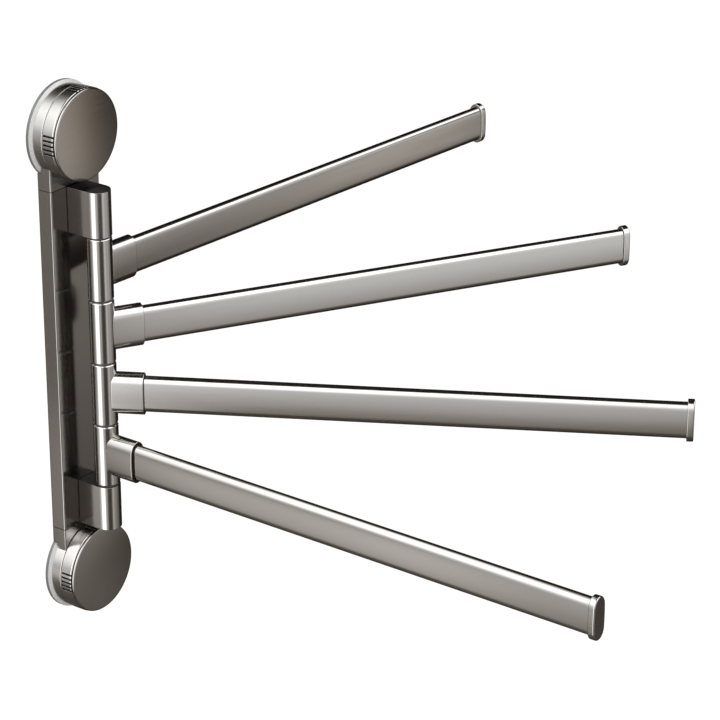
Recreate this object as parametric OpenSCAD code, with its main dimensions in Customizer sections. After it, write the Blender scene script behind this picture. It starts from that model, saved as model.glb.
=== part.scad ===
// Swing arm towel bar. Four flat bars swivel on one upright rod, which two brackets
// hold off a hollow back plate. A suction unit at each end of the plate is locked
// and released by a turned knob.
// Millimetres. +X runs right along the wall, +Y into the wall and +Z up.
// The wall is the plane y = 0, and the origin lies on it behind the plate's middle.

/* [Swivel stack] */
// Diameter of the turned hub at the root of each arm
hub_dia = 14.6; // [13:0.1:18]
// Height of one hub
hub_height = 37.3; // [30:0.1:45]
// Thickness of the plastic washer on each side of a hub
washer_thick = 0.8; // [0.6:0.1:2]
// How far a washer stays inside the hub's outline
washer_inset = 0.5; // [0.1:0.1:0.7]
// Distance from the wall to the pivot rod's centre line
axis_reach = 26; // [24.5:0.5:36]
// Diameter of the pivot rod
rod_dia = 6; // [5.6:0.1:6.6]
// Wall of the plastic bush in each hub
bush_wall = 1.15; // [0.9:0.05:1.5]
// How far a bush's ends stay inside the hub's ends
bush_inset = 0.2; // [0.1:0.1:0.5]
// Chamfer on the edges of the hubs and brackets
edge_break = 0.6; // [0.2:0.1:0.8]
// Where arm 1, at the top, points: degrees from straight out towards +X
arm_1_angle = 84; // [-90:1:90]
// Where arm 2 points
arm_2_angle = 59; // [-90:1:90]
// Where arm 3 points
arm_3_angle = 29; // [-90:1:90]
// Where arm 4, at the bottom, points
arm_4_angle = -1; // [-90:1:90]

/* [Arms] */
// Distance from the pivot to an arm's far end
arm_reach = 333.7; // [250:0.1:400]
// Height of the flat bar
bar_height = 22; // [20:0.5:24]
// Thickness of the flat bar
bar_thick = 8; // [7:0.2:9]
// Wall of the bar's tube
bar_wall = 1; // [0.8:0.1:1.3]
// Wall of the hub's socket round the bar
socket_wall = 1.8; // [1.4:0.1:2.1]
// Distance from the pivot to the socket's mouth
socket_reach = 23.4; // [20:0.2:30]
// Distance from the pivot to the socket block's inner end, inside the hub
socket_heel = 4.7; // [4.5:0.1:6]
// Rounding of the socket block's ends
socket_edge = 1; // [0.4:0.1:1.2]
// Solid web between the hub's outline and the socket's floor
socket_floor = 2.2; // [1.4:0.1:3]
// Thickness of the end cap's flange
cap_thick = 4; // [3:0.2:6]
// How far the cap stands above and below the bar
cap_rise = 1.8; // [1:0.1:2.4]
// How far the cap stands out past each side of the bar
cap_side = 1.5; // [1:0.1:2.4]
// Rounding of the cap's edges
cap_edge = 0.8; // [0.4:0.1:1.2]
// Length of the cap's plug inside the bar
plug_length = 14; // [8:1:20]
// Wall of the plug
plug_wall = 1.2; // [0.8:0.1:1.5]

/* [Back plate] */
// Width of the back plate
plate_width = 41; // [38:0.5:44]
// Depth of the plate's hollow section
plate_depth = 9.8; // [9.4:0.1:12]
// Gap between the plate and the wall
wall_gap = 0.2; // [0.1:0.1:0.5]
// Wall of the hollow section
plate_wall = 1.6; // [1.3:0.1:2]
// Thickness of the two webs along the inside of the plate
web_thick = 1.2; // [0.8:0.1:1.6]
// Rounding of the plate's long edges
plate_edge = 0.8; // [0.4:0.1:1.1]

/* [Brackets and fasteners] */
// Height of each end bracket
bracket_height = 27; // [24:0.2:34]
// How far a bracket stands out past the hub's side
bracket_proud = 0.2; // [0.1:0.1:0.6]
// Width of the fine shadow line round each bracket's foot and each seat's neck
shadow_line = 0.4; // [0.2:0.1:0.6]
// Depth of that shadow line
shadow_depth = 0.5; // [0.2:0.1:0.8]
// Thread diameter of the screws that hold the brackets
bracket_screw_dia = 4; // [3.5:0.1:4.2]
// Distance between a bracket's two screws
bracket_screw_spacing = 14; // [12:0.5:15]
// How deep a bracket screw reaches into the bracket
bracket_screw_bite = 8; // [6:0.5:8.5]
// Diameter of a bracket screw's head
bracket_head_dia = 7.6; // [7:0.1:8.2]
// Height of a bracket screw's head
bracket_head_height = 2.4; // [2:0.1:3]
// Diameter of the thread at the rod's upper end
rod_thread_dia = 5; // [4:0.1:5.4]
// Length of that thread
rod_thread_length = 13; // [8:0.5:16]
// Thread diameter of the screw in the rod's lower end
rod_screw_dia = 4; // [3:0.1:4.2]
// How far that screw reaches into the rod
rod_screw_bite = 10; // [6:0.5:14]
// How far the rod's lower end stays above the counterbore's floor
rod_short = 1; // [0.5:0.1:2]
// Diameter of the rod screw's head
rod_head_dia = 7.6; // [7:0.1:8]
// Height of the rod screw's head
rod_head_height = 2.6; // [2:0.1:3]
// Thickness of the washer under the rod screw's head
rod_washer_thick = 0.8; // [0.5:0.1:1.2]
// Rim of that washer outside the screw's head
rod_washer_rim = 0.5; // [0.2:0.1:0.7]
// How far the head sits below the bracket's end face
head_recess = 0.2; // [0.1:0.1:0.6]
// Thread diameter of the screws that hold the seats
seat_screw_dia = 3; // [2.6:0.1:3.4]
// Length of a seat screw
seat_screw_length = 6; // [5:0.5:7]
// Depth of a seat screw's countersunk head
seat_head_height = 1.2; // [1:0.1:1.3]
// Width and depth of the cross recess in the screw heads
drive_slot = 0.9; // [0.6:0.1:1]

/* [Seats] */
// Distance from the plate's end to the suction cup's rim
cup_clear = 1.9; // [1.2:0.1:5.8]
// Diameter of the seat's round housing
housing_dia = 52.8; // [51:0.2:54]
// Wall of the housing
housing_wall = 2.2; // [1.8:0.1:2.6]
// Thickness of the housing's front
housing_front_wall = 2.4; // [2:0.1:2.6]
// Chamfer on the housing's front edge
housing_edge = 0.5; // [0.2:0.1:0.8]
// Number of ribs inside the housing
housing_ribs = 6; // [4:1:8]
// Thickness of the ribs in the seats and knobs
rib_thick = 1.6; // [1.2:0.1:2]
// Space left between the soft cup and the ribs
rib_clear = 1.7; // [1.3:0.1:1.9]
// Length of the tongues that plug into the plate
tongue_length = 14; // [12:0.5:18]

/* [Suction cups] */
// How far the soft suction cup stands out past the housing all round
cup_proud = 1.8; // [1.2:0.1:2.4]
// Thickness of the cup at its edge
cup_edge = 2; // [1.6:0.1:2.2]
// Height of the slope from the cup's edge to the housing
cup_slope = 1.5; // [1.2:0.1:1.8]
// Width of the flat ring that seals on the wall
lip_width = 5.7; // [4:0.1:8]
// Depth of the locked cup's chamber at its middle
chamber_depth = 2.1; // [2:0.1:2.3]
// Thickness of the cup behind the stud's flange
cup_skin = 1.3; // [1:0.1:1.4]
// Thickness of the cup in front of the stud's flange
cup_cover = 1.5; // [1.2:0.1:1.6]
// Width of the cup's wall round the stud's flange
boss_wall = 1.8; // [1.4:0.1:2]

/* [Studs and knobs] */
// Thread diameter of the stud moulded into the cup
stud_dia = 8; // [7:0.1:8.6]
// Diameter of the stud's flange
flange_dia = 12.4; // [11.6:0.2:13]
// Thickness of the stud's flange
flange_thick = 1.5; // [1.2:0.1:1.6]
// Side of the square neck that keeps the stud from turning
neck_side = 8.6; // [8.6:0.1:9]
// Distance across the flats of the knob's nut
nut_flats = 13; // [12.4:0.1:13.4]
// Height of the knob's nut
nut_height = 6; // [5:0.1:6.4]
// How far the stud's tip stays inside the nut's front
tip_inset = 0.4; // [0.2:0.1:1]
// How far the knob stands out past the housing all round
knob_proud = 0.3; // [0.1:0.1:0.8]
// Length of the knob's outer wall
knob_length = 8.2; // [8:0.1:12]
// Seam between the housing and the knob
knob_seam = 0.3; // [0.2:0.1:0.5]
// Wall of the knob
knob_wall = 2.5; // [2.3:0.1:3]
// Thickness of the knob's bearing floor behind the nut
knob_floor = 1.9; // [1.5:0.1:2.1]
// Thickness of the web between the knob's boss and its wall
knob_web = 2.5; // [2:0.1:2.8]
// Wall of the boss round the nut's corners
knob_boss_wall = 1.5; // [1:0.1:1.8]
// Chamfer on the knob's front edge
knob_edge = 0.6; // [0.3:0.1:0.8]
// Number of grip patches round the knob
grip_sets = 4; // [2:1:6]
// Grooves in one grip patch
grip_grooves = 5; // [3:1:7]
// Angle between two grooves, in degrees
grip_pitch = 5.6; // [4.6:0.2:7]
// Width of a grip groove
groove_width = 1.2; // [0.6:0.1:1.4]
// Depth of a grip groove
groove_depth = 1.2; // [0.7:0.1:1.5]
// Plain band between the seam and the grooves
groove_start = 0.7; // [0.4:0.1:1.5]
// Shadow gap between the knob and its cover
cover_gap = 1.2; // [0.6:0.1:1.4]
// How far that gap goes in from the knob's outline
cover_step = 2; // [1:0.1:2.1]
// Thickness of the cover disc
cover_thick = 0.8; // [0.8:0.1:1.6]
// How far the cover stays inside the knob's outline
cover_inset = 0.3; // [0:0.1:0.6]
// Bevel on the cover's front edge
cover_bevel = 0.4; // [0.2:0.1:0.6]
// Wall of the cover's snap skirt
skirt_wall = 1.4; // [1:0.1:1.6]
// Slots that part the skirt into springy tabs
skirt_slots = 4; // [2:1:8]
// Width of those slots
skirt_slot = 3; // [2:0.5:5]

/* [Clearances] */
// Radial gap of a shaft, thread or pin in its bore
run_gap = 0.05; // [0.02:0.01:0.08]
// Gap between pieces that slide or plug together
slip_gap = 0.1; // [0.05:0.01:0.15]
// Radial gap of a pressed-in bush
press_gap = 0.02; // [0.01:0.01:0.03]
// Gap between a bar's end and its socket's floor
end_gap = 0.3; // [0.1:0.1:0.6]
// Room round a screw's shank in a through hole
hole_gap = 0.25; // [0.15:0.05:0.4]
// Room round a screw's head
head_gap = 0.5; // [0.3:0.05:0.6]
// Room left past a screw's or rod's tip
tip_gap = 1; // [0.6:0.1:1.4]
// Room round the cup where the seat's neck passes it
cup_gap = 0.4; // [0.3:0.1:0.8]

/* [Hidden] */
$fn = 96;
overcut = 1;
hex = 6;
hex_corner = 1 / cos(180 / hex);
arms = [1, 2, 3, 4];
arm_angles = [arm_1_angle, arm_2_angle, arm_3_angle, arm_4_angle];
color_metal = "#8d8880";
color_plastic = "#7c766e";
color_steel = "#a9a6a1";
color_soft = "#c6c8c4";
color_dark = "#3b3935";
color_brass = "#b5934a";

// Heights up the stack
pitch = hub_height + washer_thick;
stack_half = (len(arms) * pitch + washer_thick) / 2;
plate_half = stack_half + bracket_height;
bracket_mid = stack_half + bracket_height / 2;
function hub_z(arm) = ((len(arms) + 1) / 2 - arm) * pitch;

// Distances from the wall
plate_front = wall_gap + plate_depth;
housing_back = cup_edge + cup_slope;
flange_back = chamber_depth + cup_skin;
flange_front = flange_back + flange_thick;
boss_front = flange_front + cup_cover;
knob_back = plate_front + knob_seam;
knob_front = knob_back + knob_length;
nut_back = plate_front + knob_floor;
nut_front = nut_back + nut_height;
web_back = nut_back + slip_gap;
web_front = web_back + knob_web;
cover_back = knob_front + cover_gap;
cover_front = cover_back + cover_thick;

// Radii
rod_bore = rod_dia / 2 + run_gap;
bush_radius = rod_bore + bush_wall;
bracket_radius = hub_dia / 2 + bracket_proud;
housing_radius = housing_dia / 2;
housing_bore = housing_radius - housing_wall;
cup_radius = housing_radius + cup_proud;
cup_boss = flange_dia / 2 + boss_wall;
collar_bore = cup_boss + tip_gap;
knob_radius = housing_radius + knob_proud;
knob_bore = knob_radius - knob_wall;
knob_boss = nut_flats / 2 * hex_corner + knob_boss_wall;

// Where the suction units' centres lie, past the plate's ends and from its middle
cup_overhang = cup_radius + cup_clear;
cup_z = plate_half + cup_overhang;

// Places along an arm, from the pivot
bar_start = hub_dia / 2 + socket_floor + end_gap;
cap_start = arm_reach - cap_thick;

// The plate's webs clear the bracket screws' heads, and the tongues clear the webs
web_inner = bracket_head_dia / 2 + head_gap + slip_gap;
tongue_inner = web_inner + web_thick + slip_gap;
tongue_outer = plate_width / 2 - plate_wall - slip_gap;
tongue_mid = (tongue_inner + tongue_outer) / 2;
seat_screw_z = plate_half - tongue_length / 2;
seat_head_dia = seat_screw_dia + 2 * seat_head_height;

// The counterbore under the rod holds the washer and the screw's head
counterbore = rod_washer_thick + rod_head_height + head_recess;
rod_washer_radius = rod_head_dia / 2 + rod_washer_rim;
rod_floor = -plate_half + counterbore;
rod_bottom = rod_floor + rod_short;

// Local z becomes the distance from the wall, at height z
module on_wall(z) {
    translate([0, 0, z]) rotate([90, 0, 0]) children();
}

// The lower half of the product mirrors the upper half
module lower() {
    mirror([0, 0, 1]) children();
}

// Local +X runs out along the arm from the pivot
module on_arm(arm) {
    translate([0, -axis_reach, hub_z(arm)])
        rotate([0, 0, arm_angles[arm - 1] - 90]) children();
}

// Local z runs out along the arm, local y up and local x across it
module along_arm(start) {
    translate([start, 0, 0]) rotate([90, 0, 90]) children();
}

// Upright obround: straight sides and round ends
module obround(height, thick) {
    square([thick, height - thick], center = true);
    for (end = [-1, 1])
        translate([0, end * (height - thick) / 2]) circle(d = thick);
}

// Rectangle with rounded corners, centred on x and standing on y = 0
module rounded_rect(width, height, radius) {
    translate([-width / 2, radius]) square([width, height - 2 * radius]);
    translate([radius - width / 2, 0]) square([width - 2 * radius, height]);
    for (x = [radius - width / 2, width / 2 - radius], y = [radius, height - radius])
        translate([x, y]) circle(r = radius);
}

// Obround block whose end edges are rounded all the way round: the round ends are
// a revolved profile, and the straight run between them is the same profile extruded
module soft_obround(height, thick, length, edge) {
    straight = height - thick;
    for (end = [-1, 1])
        translate([0, end * straight / 2, 0])
            rotate_extrude()
                intersection() {
                    rounded_rect(thick, length, edge);
                    square([thick, length]);
                }
    translate([0, straight / 2, 0]) rotate([90, 0, 0])
        linear_extrude(straight) rounded_rect(thick, length, edge);
}

// Turned cylinder with both edges chamfered
module turned(radius, height, chamfer) {
    rotate_extrude()
        polygon([
            [0, 0], [radius - chamfer, 0], [radius, chamfer],
            [radius, height - chamfer], [radius - chamfer, height], [0, height]
        ]);
}

// Washer or bush lying on z = 0
module ring(outer, inner, height) {
    difference() {
        cylinder(h = height, r = outer);
        translate([0, 0, -overcut]) cylinder(h = height + 2 * overcut, r = inner);
    }
}

// Cross recess cut into a screw's head, whose face lies on z = 0
module cross_recess(reach) {
    for (turn = [0, 90])
        rotate([0, 0, turn])
            translate([-reach / 2, -drive_slot / 2, -overcut])
                cube([reach, drive_slot, overcut + drive_slot]);
}

// Pan head screw: head face on z = 0, thread running up z
module pan_screw(thread, length, head, head_height) {
    difference() {
        union() {
            turned(head / 2, head_height, drive_slot / 3);
            cylinder(h = head_height + length, d = thread);
        }
        cross_recess(thread);
    }
}

// Hollow section of the plate, with two webs beside the row of screws
module plate_section() {
    inner_depth = plate_depth - 2 * plate_wall;
    translate([0, -plate_front]) difference() {
        rounded_rect(plate_width, plate_depth, plate_edge);
        translate([-plate_width / 2 + plate_wall, plate_wall])
            square([plate_width - 2 * plate_wall, inner_depth]);
    }
    for (side = [-1, 1])
        translate([side * (web_inner + web_thick / 2), -wall_gap - plate_depth / 2])
            square([web_thick, inner_depth + plate_wall], center = true);
}

// Heights of the bracket screws, both ends of the plate
function screw_heights() = [
    for (end = [-1, 1], side = [-1, 1])
        end * bracket_mid + side * bracket_screw_spacing / 2
];

module back_plate() {
    color(color_metal) difference() {
        translate([0, 0, -plate_half]) linear_extrude(2 * plate_half) plate_section();
        for (z = screw_heights()) on_wall(z) {
            // The screw's hole in front and the driver's hole behind
            translate([0, 0, plate_front - plate_wall - overcut])
                cylinder(h = plate_wall + 2 * overcut, r = bracket_screw_dia / 2 + hole_gap);
            cylinder(h = wall_gap + plate_wall + overcut, r = bracket_head_dia / 2 + head_gap);
        }
        for (end = [-1, 1], side = [-1, 1])
            translate([side * tongue_mid, 0, 0]) on_wall(end * seat_screw_z) {
                cylinder(h = wall_gap + plate_wall + overcut, r = seat_screw_dia / 2 + hole_gap);
                translate([0, 0, wall_gap - overcut])
                    cylinder(
                        h = seat_head_height + overcut,
                        r1 = seat_head_dia / 2 + slip_gap + overcut,
                        r2 = seat_screw_dia / 2 + slip_gap
                    );
            }
    }
}

// Outline of a bracket's side, with its four edges broken, drawn in by inset
module bracket_outline(inset) {
    half = bracket_radius - inset;
    top = -inset;
    bottom = inset - bracket_height;
    polygon([
        [-half, top - edge_break], [-half + edge_break, top],
        [half - edge_break, top], [half, top - edge_break],
        [half, bottom + edge_break], [half - edge_break, bottom],
        [edge_break - half, bottom], [-half, bottom + edge_break]
    ]);
}

// Block with a round nose on the pivot's line and a flat back on the plate, where a
// fine step makes the shadow line
module bracket_block() {
    flat = axis_reach - plate_front;
    translate([0, -axis_reach, stack_half]) {
        turned(bracket_radius, bracket_height, edge_break);
        rotate([-90, 0, 0]) {
            linear_extrude(flat - shadow_line) bracket_outline(0);
            linear_extrude(flat) bracket_outline(shadow_depth);
        }
    }
}

// Tapped holes in the bracket's back for its two screws
module bracket_holes() {
    for (side = [-1, 1])
        on_wall(bracket_mid + side * bracket_screw_spacing / 2)
            translate([0, 0, plate_front - overcut])
                cylinder(
                    h = bracket_screw_bite + tip_gap + overcut,
                    r = bracket_screw_dia / 2 + run_gap
                );
}

module upper_bracket() {
    color(color_metal) difference() {
        bracket_block();
        bracket_holes();
        translate([0, -axis_reach, stack_half - overcut])
            cylinder(
                h = rod_thread_length + tip_gap + overcut,
                r = rod_thread_dia / 2 + run_gap
            );
    }
}

module lower_bracket() {
    color(color_metal) difference() {
        lower() bracket_block();
        lower() bracket_holes();
        translate([0, -axis_reach, -plate_half - overcut]) {
            cylinder(h = bracket_height + 2 * overcut, r = rod_bore);
            cylinder(h = counterbore + overcut, r = rod_washer_radius + slip_gap);
        }
    }
}

module bracket_screws() {
    color(color_steel) for (z = screw_heights())
        on_wall(z)
            translate([0, 0, plate_front - plate_wall - bracket_head_height])
                pan_screw(
                    bracket_screw_dia, plate_wall + bracket_screw_bite,
                    bracket_head_dia, bracket_head_height
                );
}

module pivot_rod() {
    color(color_steel) translate([0, -axis_reach, 0]) difference() {
        translate([0, 0, rod_bottom]) {
            cylinder(h = stack_half - rod_bottom, d = rod_dia);
            cylinder(h = stack_half - rod_bottom + rod_thread_length, d = rod_thread_dia);
        }
        translate([0, 0, rod_bottom - overcut])
            cylinder(
                h = rod_screw_bite + tip_gap + overcut,
                r = rod_screw_dia / 2 + run_gap
            );
    }
}

module rod_screw() {
    color(color_steel)
        translate([0, -axis_reach, rod_floor - rod_washer_thick - rod_head_height])
            pan_screw(
                rod_screw_dia, rod_washer_thick + rod_short + rod_screw_bite,
                rod_head_dia, rod_head_height
            );
}

module rod_washer() {
    color(color_steel) translate([0, -axis_reach, rod_floor - rod_washer_thick])
        ring(rod_washer_radius, rod_screw_dia / 2 + hole_gap, rod_washer_thick);
}

// One washer below each hub and one on top of the stack
module friction_washers() {
    color(color_soft) for (level = [0 : len(arms)])
        translate([0, -axis_reach, level * pitch - stack_half])
            ring(hub_dia / 2 - washer_inset, rod_bore + slip_gap, washer_thick);
}

// Round housing with an open back, a collar round the cup's boss and radial ribs
module housing_shell() {
    rib_back = housing_back + rib_clear;
    inner_front = plate_front - housing_front_wall;
    rotate_extrude()
        polygon([
            [0, inner_front], [housing_bore, inner_front], [housing_bore, housing_back],
            [housing_radius, housing_back], [housing_radius, plate_front - housing_edge],
            [housing_radius - housing_edge, plate_front], [0, plate_front]
        ]);
    translate([0, 0, rib_back])
        ring(collar_bore + rib_thick, collar_bore, inner_front - rib_back + overcut);
    for (rib = [1 : housing_ribs])
        rotate([0, 0, (rib - 0.5) * 360 / housing_ribs])
            translate([collar_bore + rib_thick / 2, -rib_thick / 2, rib_back])
                cube([
                    housing_radius - collar_bore - rib_thick, rib_thick,
                    inner_front - rib_back + overcut
                ]);
}

// The neck carries the plate's outline on to the housing. It is cored from behind
// on each side of a middle web, and starts with the shadow line
module neck() {
    core_top = plate_front - housing_front_wall;
    core_height = cup_z - plate_half - rib_thick;
    difference() {
        union() {
            translate([0, -plate_front, plate_half + shadow_line])
                linear_extrude(cup_overhang - shadow_line)
                    rounded_rect(plate_width, plate_depth, plate_edge);
            translate([0, shadow_depth - plate_front, plate_half])
                linear_extrude(cup_overhang)
                    rounded_rect(
                        plate_width - 2 * shadow_depth, plate_depth - 2 * shadow_depth,
                        plate_edge
                    );
        }
        for (side = [-1, 1])
            difference() {
                translate([
                    side > 0 ? rib_thick : -plate_width / 2 + housing_wall,
                    -core_top,
                    plate_half + rib_thick
                ])
                    cube([plate_width / 2 - housing_wall - rib_thick, core_top, core_height]);
                on_wall(cup_z) cylinder(h = plate_front, r = housing_radius);
            }
    }
}

// Two tongues plug into the plate's outer chambers
module tongues() {
    for (side = [-1, 1])
        translate([
            side > 0 ? tongue_inner : -tongue_outer,
            -plate_front + plate_wall + slip_gap,
            plate_half - tongue_length
        ])
            cube([
                tongue_outer - tongue_inner,
                plate_depth - 2 * (plate_wall + slip_gap),
                tongue_length + rib_thick
            ]);
}

module seat() {
    color(color_plastic) difference() {
        union() {
            on_wall(cup_z) housing_shell();
            difference() {
                neck();
                on_wall(cup_z) {
                    cylinder(h = plate_front - housing_front_wall, r = housing_bore);
                    cylinder(h = housing_back, r = cup_radius + cup_gap);
                }
            }
            tongues();
        }
        on_wall(cup_z) translate([0, 0, plate_front - housing_front_wall / 2])
            cube(
                [neck_side + 2 * slip_gap, neck_side + 2 * slip_gap, 2 * housing_front_wall],
                center = true
            );
        for (side = [-1, 1])
            translate([side * tongue_mid, 0, 0]) on_wall(seat_screw_z)
                cylinder(
                    h = wall_gap + seat_screw_length + tip_gap,
                    r = seat_screw_dia / 2 + run_gap
                );
    }
}

module upper_seat() {
    seat();
}

module lower_seat() {
    lower() seat();
}

// Countersunk screws through the plate's back wall into the tongues
module seat_screws() {
    color(color_steel) for (end = [-1, 1], side = [-1, 1])
        translate([side * tongue_mid, 0, 0]) on_wall(end * seat_screw_z)
            translate([0, 0, wall_gap]) difference() {
                rotate_extrude()
                    polygon([
                        [0, 0], [seat_head_dia / 2, 0],
                        [seat_screw_dia / 2, seat_head_height],
                        [seat_screw_dia / 2, seat_screw_length - seat_screw_dia / 4],
                        [seat_screw_dia / 4, seat_screw_length], [0, seat_screw_length]
                    ]);
                cross_recess(seat_screw_dia);
            }
}

// The cup as it is when locked: its flat ring on the wall, its middle drawn off the
// wall by the stud, and a pocket in its boss for the stud's flange
module suction_cup() {
    pocket = flange_dia / 2 + run_gap;
    color(color_soft) on_wall(cup_z) difference() {
        rotate_extrude()
            polygon([
                [0, chamber_depth], [flange_dia / 2, chamber_depth],
                [cup_radius - lip_width, 0], [cup_radius, 0],
                [cup_radius, cup_edge], [housing_radius, housing_back],
                [cup_boss + cup_cover, housing_back], [cup_boss, housing_back + cup_cover],
                [cup_boss, boss_front], [0, boss_front]
            ]);
        translate([0, 0, flange_back]) cylinder(h = flange_thick, r = pocket);
        translate([0, 0, flange_back])
            cylinder(h = flange_thick + cup_cover + overcut, r = stud_dia / 2 + run_gap);
    }
}

module upper_suction_cup() {
    suction_cup();
}

module lower_suction_cup() {
    lower() suction_cup();
}

// Flange, round shank, square neck that slides in the housing, and thread
module cup_stud() {
    tip = nut_front - tip_inset;
    chamfer = edge_break;
    color(color_steel) on_wall(cup_z) {
        rotate_extrude()
            polygon([
                [0, flange_back], [flange_dia / 2, flange_back],
                [flange_dia / 2, flange_front], [stud_dia / 2, flange_front],
                [stud_dia / 2, tip - chamfer], [stud_dia / 2 - chamfer, tip], [0, tip]
            ]);
        translate([-neck_side / 2, -neck_side / 2, boss_front + slip_gap])
            cube([neck_side, neck_side, plate_front - boss_front - 2 * slip_gap]);
    }
}

module upper_cup_stud() {
    cup_stud();
}

module lower_cup_stud() {
    lower() cup_stud();
}

// Grip patches: short runs of round-bottomed grooves, open at the knob's front edge
module grip_cutters() {
    for (patch = [1 : grip_sets], groove = [1 : grip_grooves])
        rotate([0, 0, patch * 360 / grip_sets + (groove - (grip_grooves + 1) / 2) * grip_pitch])
            translate([knob_radius - groove_depth + groove_width / 2, 0, knob_back + groove_start]) {
                cylinder(h = knob_length, d = groove_width);
                translate([0, -groove_width / 2, 0])
                    cube([groove_depth + overcut, groove_width, knob_length]);
            }
}

// Outer wall, web and boss turned as one, with ribs, a nut pocket and grips
module knob_ring() {
    rear_chamfer = knob_seam;
    lip = knob_radius - cover_step;
    boss_end = nut_front + slip_gap;
    skirt_inner = knob_bore - slip_gap - skirt_wall;
    color(color_plastic) on_wall(cup_z) difference() {
        union() {
            rotate_extrude()
                polygon([
                    [0, plate_front], [knob_boss, plate_front], [knob_boss, web_back],
                    [knob_bore, web_back], [knob_bore, knob_back],
                    [knob_radius - rear_chamfer, knob_back],
                    [knob_radius, knob_back + rear_chamfer],
                    [knob_radius, knob_front - knob_edge],
                    [knob_radius - knob_edge, knob_front], [lip, knob_front],
                    [lip, cover_back], [knob_bore, cover_back], [knob_bore, web_front],
                    [knob_boss, web_front], [knob_boss, boss_end], [0, boss_end]
                ]);
            for (rib = [1 : housing_ribs])
                rotate([0, 0, rib * 360 / housing_ribs])
                    translate([knob_boss - rib_thick / 2, -rib_thick / 2, web_front - overcut])
                        cube([
                            skirt_inner - slip_gap - knob_boss + rib_thick / 2,
                            rib_thick, overcut + rib_thick
                        ]);
        }
        translate([0, 0, nut_back])
            cylinder(
                h = nut_height + overcut, r = (nut_flats / 2 + slip_gap) * hex_corner, $fn = hex
            );
        translate([0, 0, plate_front - overcut])
            cylinder(h = knob_floor + 2 * overcut, r = stud_dia / 2 + hole_gap);
        grip_cutters();
    }
}

module upper_knob_ring() {
    knob_ring();
}

module lower_knob_ring() {
    lower() knob_ring();
}

module knob_nut() {
    color(color_brass) on_wall(cup_z) translate([0, 0, nut_back]) difference() {
        cylinder(h = nut_height, r = nut_flats / 2 * hex_corner, $fn = hex);
        translate([0, 0, -overcut])
            cylinder(h = nut_height + 2 * overcut, r = stud_dia / 2 + run_gap);
    }
}

module upper_knob_nut() {
    knob_nut();
}

module lower_knob_nut() {
    lower() knob_nut();
}

// Flat disc that rests on the knob's lip, with a skirt of snap tabs inside it
module knob_cover() {
    rim = knob_radius - cover_inset;
    skirt = knob_bore - slip_gap;
    skirt_end = web_front + tip_gap;
    color(color_metal) on_wall(cup_z) {
        rotate_extrude()
            polygon([
                [0, cover_back], [rim, cover_back], [rim, cover_front - cover_bevel],
                [rim - cover_bevel, cover_front], [0, cover_front]
            ]);
        difference() {
            translate([0, 0, skirt_end])
                ring(skirt, skirt - skirt_wall, cover_back + cover_thick / 2 - skirt_end);
            for (slot = [1 : skirt_slots])
                rotate([0, 0, (slot - 0.5) * 360 / skirt_slots])
                    translate([0, -skirt_slot / 2, skirt_end - overcut])
                        cube([knob_radius, skirt_slot, cover_back - skirt_end]);
        }
    }
}

module upper_knob_cover() {
    knob_cover();
}

module lower_knob_cover() {
    lower() knob_cover();
}

// Turned hub with the bush's bore and a rounded socket for the flat bar
module arm_hub(arm) {
    mouth = bar_start - end_gap;
    color(color_metal) on_arm(arm) difference() {
        union() {
            translate([0, 0, -hub_height / 2])
                turned(hub_dia / 2, hub_height, edge_break);
            difference() {
                along_arm(socket_heel)
                    soft_obround(
                        bar_height + 2 * socket_wall, bar_thick + 2 * socket_wall,
                        socket_reach - socket_heel, socket_edge
                    );
                translate([0, 0, -hub_height / 2])
                    cylinder(h = hub_height, r = bush_radius + press_gap);
            }
        }
        translate([0, 0, -hub_height / 2 - overcut])
            cylinder(h = hub_height + 2 * overcut, r = bush_radius + press_gap);
        along_arm(mouth)
            linear_extrude(socket_reach)
                obround(bar_height + 2 * slip_gap, bar_thick + 2 * slip_gap);
    }
}

module hub_bush(arm) {
    length = hub_height - 2 * bush_inset;
    color(color_soft) on_arm(arm)
        translate([0, 0, -length / 2]) ring(bush_radius, rod_bore, length);
}

module arm_bar(arm) {
    color(color_metal) on_arm(arm) along_arm(bar_start)
        linear_extrude(cap_start - bar_start) difference() {
            obround(bar_height, bar_thick);
            obround(bar_height - 2 * bar_wall, bar_thick - 2 * bar_wall);
        }
}

// Rounded flange against the bar's end and a hollow plug with a cross web inside it
module end_cap(arm) {
    plug_height = bar_height - 2 * (bar_wall + slip_gap);
    plug_thick = bar_thick - 2 * (bar_wall + slip_gap);
    color(color_plastic) on_arm(arm) {
        along_arm(cap_start)
            soft_obround(
                bar_height + 2 * cap_rise, bar_thick + 2 * cap_side, cap_thick, cap_edge
            );
        along_arm(cap_start - plug_length)
            linear_extrude(plug_length + cap_edge) {
                difference() {
                    obround(plug_height, plug_thick);
                    obround(plug_height - 2 * plug_wall, plug_thick - 2 * plug_wall);
                }
                square([plug_thick - plug_wall, plug_wall], center = true);
            }
    }
}

back_plate();
upper_bracket();
lower_bracket();
bracket_screws();
pivot_rod();
rod_screw();
rod_washer();
friction_washers();
upper_seat();
lower_seat();
seat_screws();
upper_suction_cup();
lower_suction_cup();
upper_cup_stud();
lower_cup_stud();
upper_knob_ring();
lower_knob_ring();
upper_knob_nut();
lower_knob_nut();
upper_knob_cover();
lower_knob_cover();
for (arm = arms) {
    arm_hub(arm);
    hub_bush(arm);
    arm_bar(arm);
    end_cap(arm);
}
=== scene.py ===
import math

import bmesh
import bpy
from mathutils import Matrix, Vector


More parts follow.
